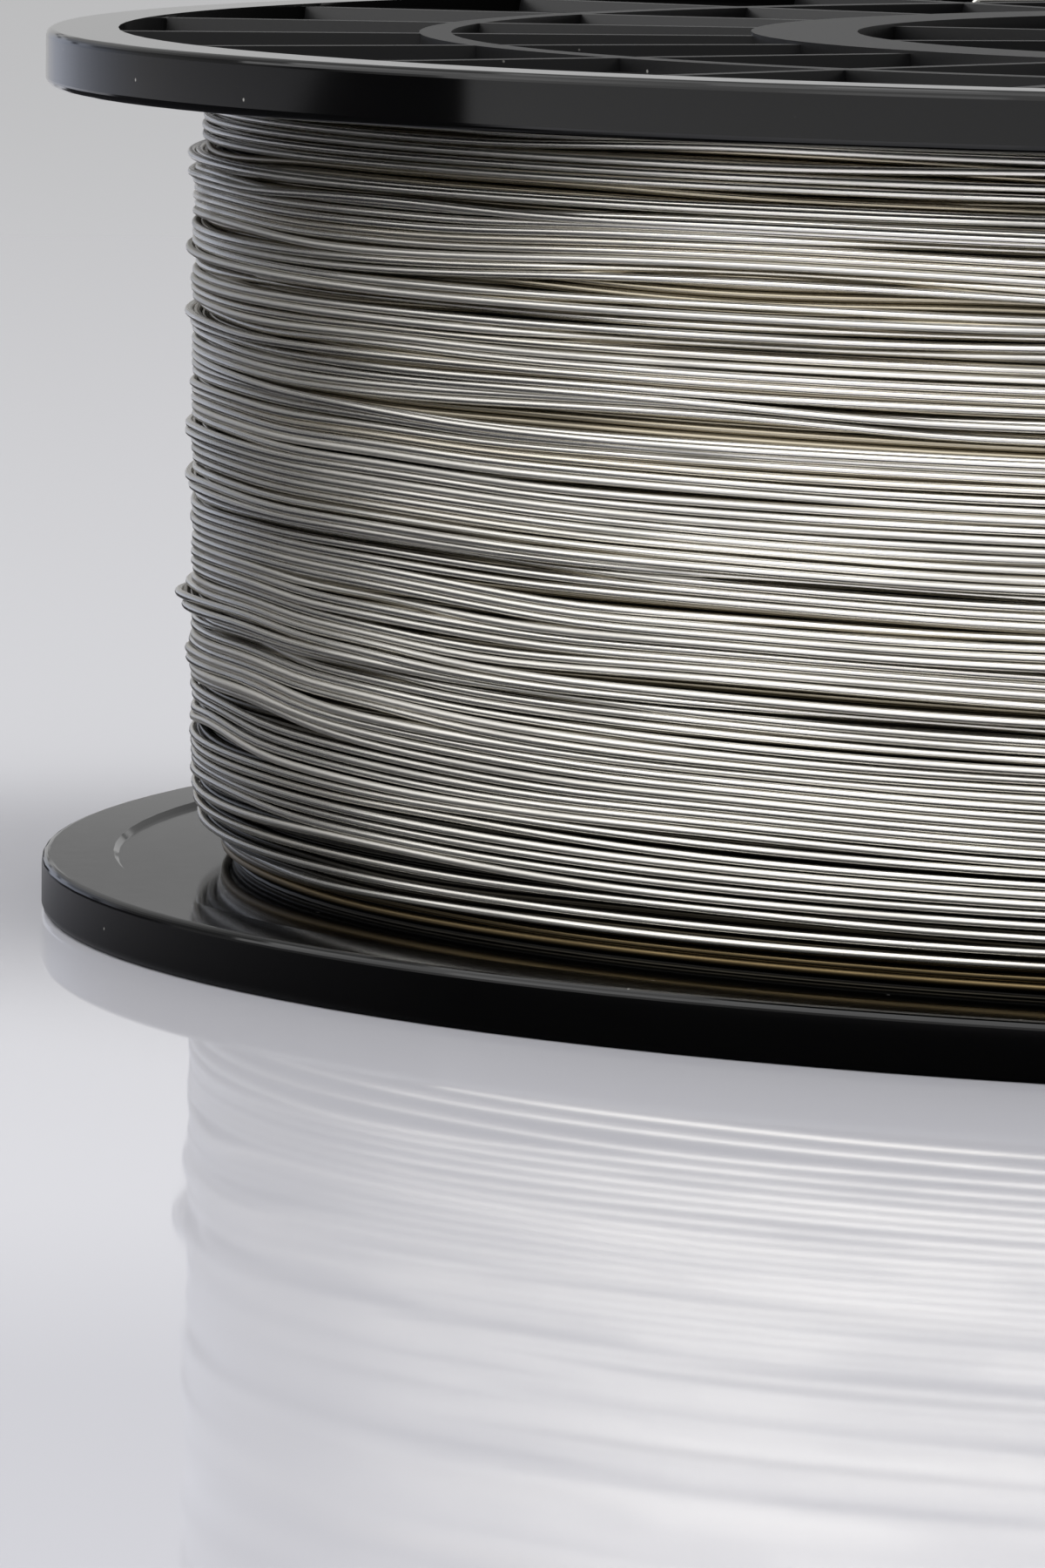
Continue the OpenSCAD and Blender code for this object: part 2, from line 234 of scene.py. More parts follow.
flangeLook = {
    "black": "#030303",
    "roughness": 0.07,
    "waveRoughness": 0.004,     # added on the crests of the waves
    "ior": 1.4,
    "orangePeel": 1.6,          # mm between the soft waves that a mould leaves
    "orangePeelDeep": 0.01,
    "waveNoise": (0.3, 0.7),
    "relief": 0.02,             # mm
    "dust": "#8f8e8a",
    "dustEvery": 3.0,           # mm between specks
    "dustSize": 0.13,
    "dustEdge": 0.6,            # share of the size from which a speck is solid
    "satinBlack": "#121213",    # the recesses outside, whose mould isn't polished
    "satinRoughness": 0.36,
    "satinGrain": 0.5,          # mm
    "satinDeep": 55.0,          # times the orange peel
    "polishedFrom": 95.3,       # mm from the axis: the rim, all polished
    "hubWithin": 53.5,          # mm from the axis: the hub, all satin
    "webOutside": (27.5, 25.4),     # mm: the middle of the spool and how far from it the recesses begin
}


# Polystyrene, injection moulded: deep black with a wet gloss, a faint orange peel and a few specks of
# dust where the mould is polished, satin and finely grained in the hub and the recesses outside
def makeMouldedStyrene(look):
    material, tree = newMaterial("blackStyreneMoulded")
    place = addNode(tree, "ShaderNodeTexCoord")
    waves = addNode(tree, "ShaderNodeTexNoise",
                    {"Vector": place.outputs["Object"], "Scale": 1 / (look["orangePeel"] * mm),
                     "Detail": 1.0})
    # where it is satin: outside on the web, and all over the hub
    parts = addNode(tree, "ShaderNodeSeparateXYZ", {"Vector": place.outputs["Object"]})
    flat = addNode(tree, "ShaderNodeVectorMath", {0: place.outputs["Object"], 1: (1, 1, 0)},
                   operation="MULTIPLY")
    radius = addNode(tree, "ShaderNodeVectorMath", {0: flat.outputs[0]}, operation="LENGTH")
    radius = radius.outputs["Value"]
    middle, reach = look["webOutside"]
    depth = addNode(tree, "ShaderNodeMath", {0: parts.outputs["Z"], 1: middle * mm}, operation="SUBTRACT")
    depth = addNode(tree, "ShaderNodeMath", {0: depth.outputs[0]}, operation="ABSOLUTE")
    outside = addNode(tree, "ShaderNodeMath", {0: depth.outputs[0], 1: reach * mm}, operation="GREATER_THAN")
    web = addNode(tree, "ShaderNodeMath", {0: radius, 1: look["polishedFrom"] * mm}, operation="LESS_THAN")
    web = addNode(tree, "ShaderNodeMath", {0: web.outputs[0], 1: outside.outputs[0]}, operation="MULTIPLY")
    hub = addNode(tree, "ShaderNodeMath", {0: radius, 1: look["hubWithin"] * mm}, operation="LESS_THAN")
    satin = addNode(tree, "ShaderNodeMath", {0: web.outputs[0], 1: hub.outputs[0]}, operation="MAXIMUM")
    satin = satin.outputs[0]
    grain = addNode(tree, "ShaderNodeTexNoise",
                    {"Vector": place.outputs["Object"], "Scale": 1 / (look["satinGrain"] * mm),
                     "Detail": 3.0})
    deep = addNode(tree, "ShaderNodeMath", {0: grain.outputs["Fac"], 1: look["satinDeep"]},
                   operation="MULTIPLY")
    relief = addNode(tree, "ShaderNodeMix", {0: satin, 2: waves.outputs["Fac"], 3: deep.outputs[0]})
    bump = addNode(tree, "ShaderNodeBump",
                   {"Height": relief.outputs[0], "Strength": look["orangePeelDeep"],
                    "Distance": look["relief"] * mm})
    trough, crest = look["waveNoise"]
    rough = addNode(tree, "ShaderNodeMapRange",
                    {"Value": waves.outputs["Fac"], "From Min": trough, "From Max": crest,
                     "To Min": look["roughness"], "To Max": look["roughness"] + look["waveRoughness"]})
    rough = addNode(tree, "ShaderNodeMix", {0: satin, 2: rough.outputs[0], 3: look["satinRoughness"]})
    black = addNode(tree, "ShaderNodeMix",
                    {0: satin, 6: toLinear(look["black"]), 7: toLinear(look["satinBlack"])},
                    data_type="RGBA")
    cells = addNode(tree, "ShaderNodeTexVoronoi",
                    {"Vector": place.outputs["Object"], "Scale": 1 / (look["dustEvery"] * mm),
                     "Randomness": 1.0})
    size = look["dustSize"] / look["dustEvery"]
    specks = addNode(tree, "ShaderNodeMapRange",
                     {"Value": cells.outputs["Distance"], "From Min": size,
                      "From Max": size * look["dustEdge"], "To Min": 0.0, "To Max": 1.0})
    colour = addNode(tree, "ShaderNodeMix",
                     {0: specks.outputs[0], 6: black.outputs[2], 7: toLinear(look["dust"])},
                     data_type="RGBA")
    shader = addNode(tree, "ShaderNodeBsdfPrincipled",
                     {"Base Color": colour.outputs[2], "Roughness": rough.outputs[0], "IOR": look["ior"],
                      "Normal": bump.outputs[0]})
    addNode(tree, "ShaderNodeOutputMaterial", {"Surface": shader.outputs[0]})
    return material


tubeLook = {
    "black": "#141415",
    "roughness": 0.45,
    "ior": 1.5,
    "grain": 0.6,           # mm
    "grainDeep": 0.3,
    "relief": 0.05,         # mm
}


# The same plastic from an unpolished mould: satin, with a fine even grain
def makeSatinStyrene(look):
    material, tree = newMaterial("blackStyreneSatin")
    place = addNode(tree, "ShaderNodeTexCoord")
    grain = addNode(tree, "ShaderNodeTexNoise",
                    {"Vector": place.outputs["Object"], "Scale": 1 / (look["grain"] * mm), "Detail": 3.0})
    bump = addNode(tree, "ShaderNodeBump", {"Height": grain.outputs["Fac"], "Strength": look["grainDeep"],
                                            "Distance": look["relief"] * mm})
    shader = addNode(tree, "ShaderNodeBsdfPrincipled",
                     {"Base Color": toLinear(look["black"]), "Roughness": look["roughness"],
                      "IOR": look["ior"], "Normal": bump.outputs[0]})
    addNode(tree, "ShaderNodeOutputMaterial", {"Surface": shader.outputs[0]})
    return material


drawnSteel = makeDrawnSteel(wireLook, "stainlessWireDrawn", wireLook["steel"])
# a copy of the drawn steel with painted shade and painted warm light, for the turns further in
paintedShadeSteel = makeDrawnSteel(wireLook, "stainlessWirePaintedShade", wireLook["innerSteelPaintedLight"], wireLook["innerPaintedShade"])
innerSteelPaintedLight = makeInnerSteel(wireLook)
mouldedStyrene = makeMouldedStyrene(flangeLook)
satinStyrene = makeSatinStyrene(tubeLook)

for node, material in (("lower_flange", mouldedStyrene), ("upper_flange", mouldedStyrene),
                       ("barrel", satinStyrene), ("arbor_tube", satinStyrene), ("wire_pack", innerSteelPaintedLight)):
    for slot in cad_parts[node].material_slots:
        slot.material = material

print("winding")
winding = {
    "wire": 0.5,            # mm, as are the other sizes here
    "clearance": 0.003,     # between turns that touch
    "low": 3.5,             # height of the middle of the lowest turn
    "high": 51.5,
    "layers": 3,
    "setIn": (0.5, 1.3, 1.6),   # how far each layer stops short of the lower flange
    "turns": 81,            # in each layer
    "stations": 180,        # on each turn
    "coreRadius": 89.2266,  # of the inner layers half way up
    "edgeDrop": 1.4,        # how much less it is at both ends, and how high and round that fall is
    "edgeHeight": 6.0,
    "edgeBend": 1.5,
    "edgeBeyond": 0.3,      # it starts this far outside the middle of the last turn
    # height above the lowest turn of the outer layer, how much wider the turns lie there
    # and how open the gaps are
    "spread": ((0, 0.9, 1.2), (1.5, 0.6, 1.2), (3.2, 0.12, 0.8), (4.5, -0.03, 0.3), (12, -0.03, 0.3),
               (15, 0.02, 1), (48, 0.02, 1)),
    "looseAt": (201, 18),   # degrees: a stretch of the outer layer that lies looser, and how wide it is
    # height, how much higher the turns lie there and how much more open the gaps are
    "looseLift": ((1, 0, 0), (3, 0.6, 2.5), (9, 1.5, 3.0), (12, 1.35, 0.8), (30, 0, 0)),
    "endAngle": 96,         # degrees, where the last turn leaves for the flange
    "endRadius": 89.104,
    "leadFrom": 24,         # stations before the end where it starts to leave, and for how many
    "leadLong": 22,
    "gapWide": 0.2,         # how far a gap between two turns opens
    "gapFrom": 0.5,         # how rare the gaps are
    "gapLength": 10,        # stations, as are the other lengths
    "longGaps": (2.6, 1.1, 1.4),    # some are this much longer, this rare and this much wider
    "leeway": 0.5,          # no gap opens where the wire is half of this ahead of its guide
    "gapMost": 1.7,         # where it is behind, gaps are wider, up to this many times
    "lagMost": 0.35,        # and where it is further behind than this, it skips forward
    "proud": 0.055,         # how much some stretches stand out from the layer
    "proudLength": 16,
    "proudFrom": 0.5,       # share of that by which an average stretch stands out
    "stepMost": 0.8,        # share of the wire that one turn can stand out from the next
    "strays": 8,            # stretches in a layer that ride over the turn before
    "strayShift": 0.5,
    "strayPlaces": (0.04, 0.96),    # share of the layer within which they lie
    "strayHalf": (10, 40),  # half the length of one, and the length over which it climbs
    "strayRamp": (12, 24),
    "restsWithin": 0.88,    # share of the wire within which a turn rests on the one below
    "looksBack": 4,         # turns of its own layer that it can rest on
    "smoothHeights": 1.3,   # stations, for what the wire's stiffness evens out
    "smoothRadii": 2.0,
    "toneVaries": 0.22,     # how much the tone changes along the wire
    "toneLength": 40,
    "seed": 13,
    "sides": 10,
}


# A smooth curve through b and c at share f of the way, with a before and d after them
def between(a, b, c, d, f):
    return (b * (2 - 5 * f ** 2 + 3 * f ** 3) + c * (f + 4 * f ** 2 - 3 * f ** 3)
            + a * (-f + 2 * f ** 2 - f ** 3) + d * (f ** 3 - f ** 2)) / 2


def easeInOut(f):
    return f * f * (3 - 2 * f)


# Smooth random numbers along the wire, about normal, with one knot each step stations
def driftAlong(rng, count, step):
    knots = rng.normal(size=int(count / step) + 4)
    at = np.arange(count) / step
    i = at.astype(int)
    return between(knots[i], knots[i + 1], knots[i + 2], knots[i + 3], at - i)


def smoothAlong(values, width):
    reach = int(width * 3) + 1
    weights = np.exp(-0.5 * (np.arange(-reach, reach + 1) / width) ** 2)
    padded = np.concatenate([np.full(reach, values[0]), values, np.full(reach, values[-1])])
    return np.convolve(padded, weights / weights.sum(), mode="valid")


# Radius of the inner layers at a height: they fall off towards both flanges
def coreAt(w, z):
    edge = np.minimum(z - (w["low"] - w["edgeBeyond"]), (w["high"] + w["edgeBeyond"]) - z)
    return w["coreRadius"] - w["edgeDrop"] * np.maximum(0, 1 - edge / w["edgeHeight"]) ** w["edgeBend"]


# How far each station of a layer has strayed back over the turn before it, from 0 to 1
def strayAlong(rng, w, count):
    share = np.zeros(count)
    at = np.arange(count)
    for _ in range(w["strays"]):
        middle = rng.uniform(*w["strayPlaces"]) * count
        half = rng.uniform(*w["strayHalf"])
        ramp = rng.uniform(*w["strayRamp"])
        share = np.maximum(share, np.clip((half + ramp - np.abs(at - middle)) / ramp, 0, 1))
    return easeInOut(share)


# Height along a layer from 0 to its travel, with the outer layer's turns spread as its table says
def guideAlong(w, layer, count, travel):
    fine = 800      # steps, for adding up the pitch
    at = np.linspace(0, travel, fine)
    pitch = np.ones(fine)
    if layer == w["layers"] - 1:
        heights, wider, _ = zip(*w["spread"])
        pitch += np.interp(at, heights, wider)
    turned = np.cumsum(1 / pitch)
    return np.interp(np.arange(count) / count, (turned - turned[0]) / (turned[-1] - turned[0]), at)


# How much each station is in the looser stretch, from 0 to 1
def looseAlong(w, count):
    middle, wide = w["looseAt"]
    away = (w["endAngle"] + 360 * np.arange(count) / w["stations"] - middle + 180) % 360 - 180
    return np.exp(-0.5 * (away / wide) ** 2)


# Lays the layers turn by turn: each turn lies against the one before it, opens a gap here and there,
# and rests on whatever wire is already below it
def layWinding(w):
    rng = np.random.default_rng(w["seed"])
    turns, stations, layers = w["turns"], w["stations"], w["layers"]
    count = turns * stations
    d = w["wire"] + w["clearance"]
    longer, rarer, wider = w["longGaps"]
    heights = np.zeros((layers, turns, stations))
    radii = np.zeros((layers, turns, stations))
    for layer in range(layers):
        upward = (layers - 1 - layer) % 2 == 0
        low, high = w["low"] + w["setIn"][layer], w["high"]
        travel = high - low
        guides = guideAlong(w, layer, count, travel)
        gaps = np.maximum(0, driftAlong(rng, count, w["gapLength"]) - w["gapFrom"]) * w["gapWide"]
        long = np.maximum(0, driftAlong(rng, count, w["gapLength"] * longer) - rarer) * w["gapWide"] * wider
        gaps = np.maximum(gaps, long)
        if layer == layers - 1:
            spreadHeights, _, openness = zip(*w["spread"])
            looseHeights, lift, more = zip(*w["looseLift"])
            loose = looseAlong(w, count)
            gaps = gaps * (np.interp(guides, spreadHeights, openness)
                           + loose * np.interp(guides, looseHeights, more))
            guides = guides + loose * np.interp(guides, looseHeights, lift)
        proud = w["proud"] * driftAlong(rng, count, w["proudLength"])
        strays = strayAlong(rng, w, count)
        # front is the highest wire laid so far, at each station round the spool
        front = np.full(stations, -d)
        before = np.zeros(stations)
        laid = np.zeros((turns, stations))
        for turn in range(turns):
            here = slice(turn * stations, (turn + 1) * stations)
            side = np.sqrt(d ** 2 - np.minimum(proud[here] - before, w["stepMost"] * d) ** 2)
            ahead = front + side - guides[here]
            opening = (np.clip(0.5 - ahead / w["leeway"], 0, w["gapMost"]) * gaps[here]
                       + np.maximum(0, -ahead - w["lagMost"]))
            laid[turn] = front + side + opening - strays[here] * (1 + w["strayShift"]) * d
            before = np.where(laid[turn] > front, proud[here], before)
            front = np.maximum(front, laid[turn])
        flat = np.clip(smoothAlong(laid.reshape(-1), w["smoothHeights"]), 0, travel).reshape(turns, stations)
        heights[layer] = low + flat if upward else high - flat
        print("layer", layer + 1, "ends", round(flat[-1].min(), 2), "to", round(flat[-1].max(), 2),
              "of", travel)
        for turn in range(turns):
            z = heights[layer, turn]
            best = coreAt(w, z) + w["wire"] / 2
            under = []
            if layer:
                under.append((heights[layer - 1], radii[layer - 1]))
            if turn:
                first = max(0, turn - w["looksBack"])
                under.append((heights[layer, first:turn], radii[layer, first:turn]))
            for z0, r0 in under:
                across = np.abs(z - z0)
                lift = np.sqrt(np.maximum(0, w["wire"] ** 2 - across ** 2))
                rests = across < w["wire"] * w["restsWithin"]
                best = np.maximum(best, np.where(rests, r0 + lift, 0).max(axis=0))
            radii[layer, turn] = best
        flat = smoothAlong(radii[layer].reshape(-1), w["smoothRadii"])
        flat = flat + np.maximum(0, proud + w["proud"] * w["proudFrom"])
        radii[layer] = flat.reshape(turns, stations)
    # the end of the wire leaves for its hole in the upper flange
    lead = easeInOut(np.clip((np.arange(count) - (count - w["leadFrom"])) / w["leadLong"], 0, 1))
    lead = lead.reshape(turns, stations)
    heights[-1] += (w["high"] - heights[-1]) * lead
    radii[-1] += (w["endRadius"] - radii[-1]) * lead
    return heights, radii


# Sweeps a round wire along every line of the mesh it is given
def makeWireTree():
    tree = bpy.data.node_groups.new("sweepWire", "GeometryNodeTree")
    for name, kind in (("Lines", "NodeSocketGeometry"), ("Wire radius", "NodeSocketFloat"),
                       ("Sides", "NodeSocketInt"), ("Level", "NodeSocketBool"),
                       ("Finish", "NodeSocketMaterial")):
        tree.interface.new_socket(name, in_out="INPUT", socket_type=kind)
    tree.interface.new_socket("Wire", in_out="OUTPUT", socket_type="NodeSocketGeometry")
    given = addNode(tree, "NodeGroupInput").outputs
    curve = addNode(tree, "GeometryNodeMeshToCurve", {"Mesh": given["Lines"]})
    upright = addNode(tree, "GeometryNodeSetCurveNormal",
                      {"Curve": curve.outputs[0], "Selection": given["Level"]}, mode="Z_UP")
    ring = addNode(tree, "GeometryNodeCurvePrimitiveCircle",
                   {"Resolution": given["Sides"], "Radius": given["Wire radius"]})
    onRing = addNode(tree, "GeometryNodeInputPosition")
    around = addNode(tree, "GeometryNodeStoreNamedAttribute",
                     {"Geometry": ring.outputs[0], "Name": "aroundWire"},
                     data_type="FLOAT_VECTOR", domain="POINT")
    tree.links.new(onRing.outputs[0], around.inputs["Value"])
    swept = addNode(tree, "GeometryNodeCurveToMesh",
                    {"Curve": upright.outputs[0], "Profile Curve": around.outputs[0], "Fill Caps": True})
    smooth = addNode(tree, "GeometryNodeSetShadeSmooth", {"Geometry": swept.outputs[0]})
    real = addNode(tree, "GeometryNodeRealizeInstances", {"Geometry": smooth.outputs[0]})
    done = addNode(tree, "GeometryNodeSetMaterial",
                   {"Geometry": real.outputs[0], "Material": given["Finish"]})
    addNode(tree, "NodeGroupOutput", {0: done.outputs[0]})
    return tree


wireTree = makeWireTree()


# Makes one piece of wire from a route in mm, with a tone for each of its points
def makeWire(name, route, tones, radius, sides, level, material):
    lines = bpy.data.meshes.new(name + "Lines")
    lines.from_pydata([tuple(p) for p in route * mm], [(i, i + 1) for i in range(len(route) - 1)], [])
    steps = np.linalg.norm(np.diff(route, axis=0), axis=1)
    along = np.concatenate([[0], np.cumsum(steps)])     # mm
    for attribute, values in (("turnTone", tones), ("alongWire", along)):
        data = lines.attributes.new(attribute, "FLOAT", "POINT").data
        data.foreach_set("value", values.astype(np.float32))
    source = bpy.data.objects.new(name + "Lines", lines)
    bpy.context.scene.collection.objects.link(source)
    modifier = source.modifiers.new("sweep", "NODES")
    modifier.node_group = wireTree
    wanted = {"Wire radius": radius * mm, "Sides": sides, "Level": level, "Finish": material}
    for item in wireTree.interface.items_tree:
        if item.name in wanted:
            modifier[item.identifier] = wanted[item.name]
    graph = bpy.context.evaluated_depsgraph_get()
    mesh = bpy.data.meshes.new_from_object(source.evaluated_get(graph), depsgraph=graph)
    mesh.name = name
    bpy.data.objects.remove(source)
    piece = bpy.data.objects.new(name, mesh)
    bpy.context.scene.collection.objects.link(piece)
    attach(piece, "root")
    print(name, len(mesh.polygons), "faces")
    return piece


# Each layer is two pieces, so that none has too many faces
def makeLayers(w):
    heights, radii = layWinding(w)
    rng = np.random.default_rng(w["seed"] + 1)
    turns, stations = w["turns"], w["stations"]
    angles = math.radians(w["endAngle"]) + 2 * np.pi * np.arange(turns * stations + 1) / stations
    half = turns // 2 * stations
    for layer in range(w["layers"]):
        outer = layer == w["layers"] - 1
        z = heights[layer].reshape(-1)
        r = radii[layer].reshape(-1)
        z = np.append(z, z[-1])
        r = np.append(r, r[-1])
        tone = np.clip(0.5 + w["toneVaries"] * driftAlong(rng, len(z), w["toneLength"]), 0, 1)
        route = np.stack([r * np.cos(angles), r * np.sin(angles), z], axis=1)
        for part, (a, b) in zip("ab", ((0, half + 1), (half, len(z)))):
            piece = makeWire("wireLayer%d%s" % (layer + 1, part), route[a:b], tone[a:b], w["wire"] / 2,
                             w["sides"], True, drawnSteel if outer else paintedShadeSteel)
            if outer:
                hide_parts("wire_outer_layer")


makeLayers(winding)

print("ends of the wire")
# from hole to hole: angles in degrees, the rest in mm
wireEnds = {
    "startAngle": 120,
    "start": ((58.2, 3.2), (58.2, 2.7), (58.2, 1.0), (58.325, 0.825), (58.7, 0.7), (65.575, 0.7),
              (72.45, 0.7), (72.825, 0.825), (72.95, 1.0), (72.95, 2.7)),      # radius and height
    "climbFrom": (89.104, 96, 51.5),        # radius, angle and height
    "climbTo": (93, 116, 51.5),
    "climbPoints": 12,
    "climbShare": 0.97,                     # how much of the way round is climbed before the bend
    "hook": ((93, 115.92, 51.75), (93, 116, 52.0), (93, 116, 54.0), (93, 116.08, 54.175),
             (93, 116.31, 54.3), (93, 118, 54.3), (93, 119.69, 54.3), (93, 119.92, 54.175),
             (93, 120, 54.0), (93, 120, 52.3)),
    "steps": (5, 4),                        # between two points, at the start and at the end of the wire
    "tone": 0.5,
    "sides": 14,
}


# A smooth route through the points, with some more between each two
def smoothRoute(points, steps):
    points = np.array(points, dtype=float)
    padded = np.vstack([2 * points[0] - points[1], points, 2 * points[-1] - points[-2]])
    out = []
    for a, b, c, d in zip(padded, padded[1:], padded[2:], padded[3:]):
        for f in np.arange(steps) / steps:
            out.append(between(a, b, c, d, f))
    return np.vstack([out, points[-1]])


def polar(radius, degrees, z):
    return (radius * math.cos(math.radians(degrees)), radius * math.sin(math.radians(degrees)), z)


def makeWireEnds(ends, radius):
    startSteps, endSteps = ends["steps"]
    begin = smoothRoute([polar(r, ends["startAngle"], z) for r, z in ends["start"]], startSteps)
    (r0, a0, z0), (r1, a1, z1) = ends["climbFrom"], ends["climbTo"]
    climb = []
    # it starts one point back, on the winding, so that it leaves along it
    for i in range(-1, ends["climbPoints"] + 1):
        ease = easeInOut(max(0, i / ends["climbPoints"]))
        turned = (a1 - a0) * ends["climbShare"] * i / ends["climbPoints"]
        climb.append(polar(r0 + (r1 - r0) * ease, a0 + turned, z0 + (z1 - z0) * ease))
    last = smoothRoute(climb + [polar(*place) for place in ends["hook"]], endSteps)
    for name, route, node in (("wireStartTail", begin, "wire_start_tail"),
                              ("wireEndTail", last, "wire_end_tail")):
        tones = np.full(len(route), ends["tone"])
        piece = makeWire(name, route, tones, radius, ends["sides"], False, drawnSteel)
        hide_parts(node)


makeWireEnds(wireEnds, winding["wire"] / 2)

print("floor and light")
studio = {
    "floorWhite": "#f2f2fa",
    "floorRoughness": 0.035,
    "floorSheen": 1.4,          # IOR that sets how much the floor mirrors
    "floorReach": 8.0,          # metres from the middle, as are the other sizes here
    "reflectedShadeBlack": "#2c2c2f",
    "reflectedShadeEdge": (-0.104, -0.085, 0.32),     # a painted dark patch, seen only in reflections of the floor, lies left of the first, between the others
    "reflectedShadeFade": 0.02,
    "shadowRingReach": 0.128,          # and a painted shadow ring, also seen only in reflections, lies round the spool, out to here
    "shadowRingFade": 0.008,
    "shadowRingThin": ((0.01, -0.075), 0.62),     # all of it counts at the second place, this share at the first
    # sine of the height in the room and how bright the room is there: a pale wall with a dark band
    "room": ((0, 0.6), (0.096, 0.6), (0.1005, 0.13), (0.109, 0.13), (0.116, 0.6), (0.132, 0.6),
             (0.146, 0.28), (0.25, 0.36)),
    "roomWhite": "#f0f0f0",
    # azimuth, the cosine of how far it reaches from there, and what the room's colour is multiplied by
    "sides": ((149, 0.8, (0.34, 0.34, 0.35)), (225, 0.2, (2.0, 2.0, 2.0)), (120, 0.945, (0.92, 0.99, 1.18))),
}


# White acrylic sheet: plain white from above, a soft mirror where it is seen at a low angle
def makeFloor(look):
    material, tree = newMaterial("whiteAcrylicSheet")
    matt = addNode(tree, "ShaderNodeBsdfDiffuse", {"Color": toLinear(look["floorWhite"])})
    gloss = addNode(tree, "ShaderNodeBsdfGlossy",
                    {"Color": (1, 1, 1, 1), "Roughness": look["floorRoughness"]})
    share = addNode(tree, "ShaderNodeFresnel", {"IOR": look["floorSheen"]})
    white = addNode(tree, "ShaderNodeMixShader",
                    {0: share.outputs[0], 1: matt.outputs[0], 2: gloss.outputs[0]})
    # painted reflected shade: the floor turns dark only in what the wire and plastic mirror, in a patch left
    # of the spool and in a shadow ring round it
    place = addNode(tree, "ShaderNodeTexCoord")
    parts = addNode(tree, "ShaderNodeSeparateXYZ", {"Vector": place.outputs["Object"]})
    rays = addNode(tree, "ShaderNodeLightPath")
    inner, front, back = look["reflectedShadeEdge"]
    reflectedShade = rays.outputs["Is Glossy Ray"]
    for axis, edge, way in (("X", inner, -1), ("Y", front, 1), ("Y", back, -1)):
        fade = look["reflectedShadeFade"] * way
        side = addNode(tree, "ShaderNodeMapRange",
                       {"Value": parts.outputs[axis], "From Min": edge - fade, "From Max": edge + fade,
                        "To Min": 0.0, "To Max": 1.0}, interpolation_type="SMOOTHSTEP")
        reflectedShade = addNode(tree, "ShaderNodeMath", {0: reflectedShade, 1: side.outputs[0]}, operation="MULTIPLY").outputs[0]
    # painted shadow ring round the spool, only for reflections
    far = addNode(tree, "ShaderNodeVectorMath", {0: place.outputs["Object"]}, operation="LENGTH")
    near = addNode(tree, "ShaderNodeMapRange",
                   {"Value": far.outputs["Value"], "From Min": look["shadowRingReach"] + look["shadowRingFade"],
                    "From Max": look["shadowRingReach"] - look["shadowRingFade"]}, interpolation_type="SMOOTHSTEP")
    (thin, full), least = look["shadowRingThin"]
    deep = addNode(tree, "ShaderNodeMapRange",
                   {"Value": parts.outputs["Y"], "From Min": thin, "From Max": full,
                    "To Min": least, "To Max": 1.0})
    deep = addNode(tree, "ShaderNodeMath", {0: rays.outputs["Is Glossy Ray"], 1: deep.outputs[0]},
                   operation="MULTIPLY")
    ring = addNode(tree, "ShaderNodeMath", {0: deep.outputs[0], 1: near.outputs[0]}, operation="MULTIPLY")
    reflectedShade = addNode(tree, "ShaderNodeMath", {0: reflectedShade, 1: ring.outputs[0]}, operation="MAXIMUM").outputs[0]
    black = addNode(tree, "ShaderNodeBsdfDiffuse", {"Color": toLinear(look["reflectedShadeBlack"])})
    shader = addNode(tree, "ShaderNodeMixShader", {0: reflectedShade, 1: white.outputs[0], 2: black.outputs[0]})
    addNode(tree, "ShaderNodeOutputMaterial", {"Surface": shader.outputs[0]})
    mesh = bpy.data.meshes.new("floor")
    s = look["floorReach"]
    mesh.from_pydata([(-s, -s, 0), (s, -s, 0), (s, s, 0), (-s, s, 0)], [], [(0, 1, 2, 3)])
    mesh.materials.append(material)
    floor = bpy.data.objects.new("floor", mesh)
    bpy.context.scene.collection.objects.link(floor)


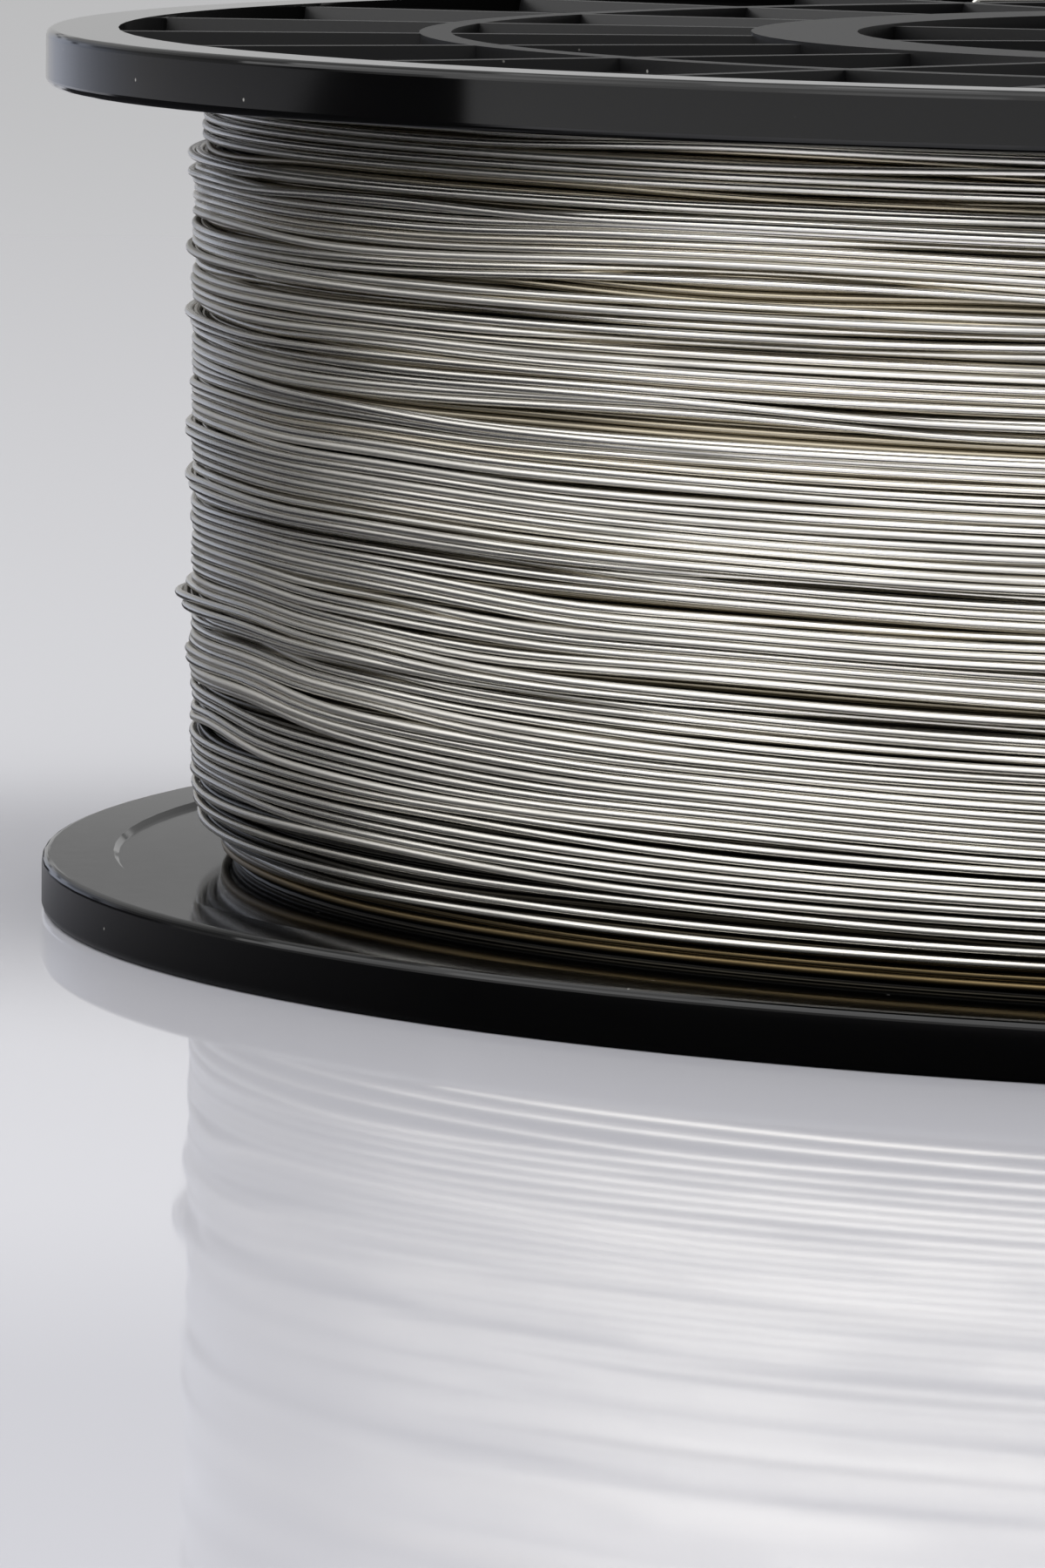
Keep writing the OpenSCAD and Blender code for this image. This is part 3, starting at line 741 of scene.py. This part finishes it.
# A plain room, pale at the horizon and dimmer above it, whose sides differ
def makeRoom(look):
    world = bpy.data.worlds.new("studio")
    world.use_nodes = True
    tree = world.node_tree
    tree.nodes.clear()
    place = addNode(tree, "ShaderNodeTexCoord")
    parts = addNode(tree, "ShaderNodeSeparateXYZ", {"Vector": place.outputs["Generated"]})
    top, white = look["room"][-1][0], toLinear(look["roomWhite"])[:3]
    up = addNode(tree, "ShaderNodeMath", {0: parts.outputs["Z"], 1: top}, operation="DIVIDE")
    wall = addNode(tree, "ShaderNodeValToRGB", {"Fac": up.outputs[0]},
                   stops=[(z / top, [c * light for c in white] + [1]) for z, light in look["room"]])
    wall = wall.outputs[0]
    for azimuth, reach, light in look["sides"]:
        toward = (math.cos(math.radians(azimuth)), math.sin(math.radians(azimuth)), 0)
        near = addNode(tree, "ShaderNodeVectorMath", {0: place.outputs["Generated"], 1: toward},
                       operation="DOT_PRODUCT")
        share = addNode(tree, "ShaderNodeMapRange",
                        {"Value": near.outputs["Value"], "From Min": reach, "From Max": 1.0},
                        interpolation_type="SMOOTHSTEP")
        change = addNode(tree, "ShaderNodeMix", {0: share.outputs[0], 6: (1, 1, 1, 1), 7: light + (1,)},
                         data_type="RGBA")
        wall = addNode(tree, "ShaderNodeVectorMath", {0: wall, 1: change.outputs[2]}, operation="MULTIPLY")
        wall = wall.outputs[0]
    sky = addNode(tree, "ShaderNodeBackground", {"Color": wall, "Strength": 1.0})
    addNode(tree, "ShaderNodeOutputWorld", {"Surface": sky.outputs[0]})
    bpy.context.scene.world = world


# where each softbox stands: azimuth and elevation in degrees, distance and size in metres, brightness
softboxes = {
    "keySoftbox": (191, 43, 1.2, 1.9, 1.4, 1.02),
    "sideSoftbox": (215, 21, 1.3, 1.8, 0.6, 0.95),
    "topSoftbox": (230, 80, 1.3, 1.6, 1.6, 1.0),
}


def makeSoftbox(name, azimuth, elevation, distance, width, height, brightness):
    data = bpy.data.lights.new(name, "AREA")
    data.shape = "RECTANGLE"
    data.size = width
    data.size_y = height
    data.energy = brightness * math.pi * width * height
    lamp = bpy.data.objects.new(name, data)
    a, e = math.radians(azimuth), math.radians(elevation)
    away = Vector((math.cos(a) * math.cos(e), math.sin(a) * math.cos(e), math.sin(e)))
    lamp.location = away * distance
    lamp.rotation_mode = "QUATERNION"
    lamp.rotation_quaternion = (-away).to_track_quat("-Z", "Y")
    lamp.visible_camera = False
    bpy.context.scene.collection.objects.link(lamp)


makeFloor(studio)
for name, place in softboxes.items():
    makeSoftbox(name, *place)
makeRoom(studio)
bpy.context.scene.view_settings.view_transform = "Standard"
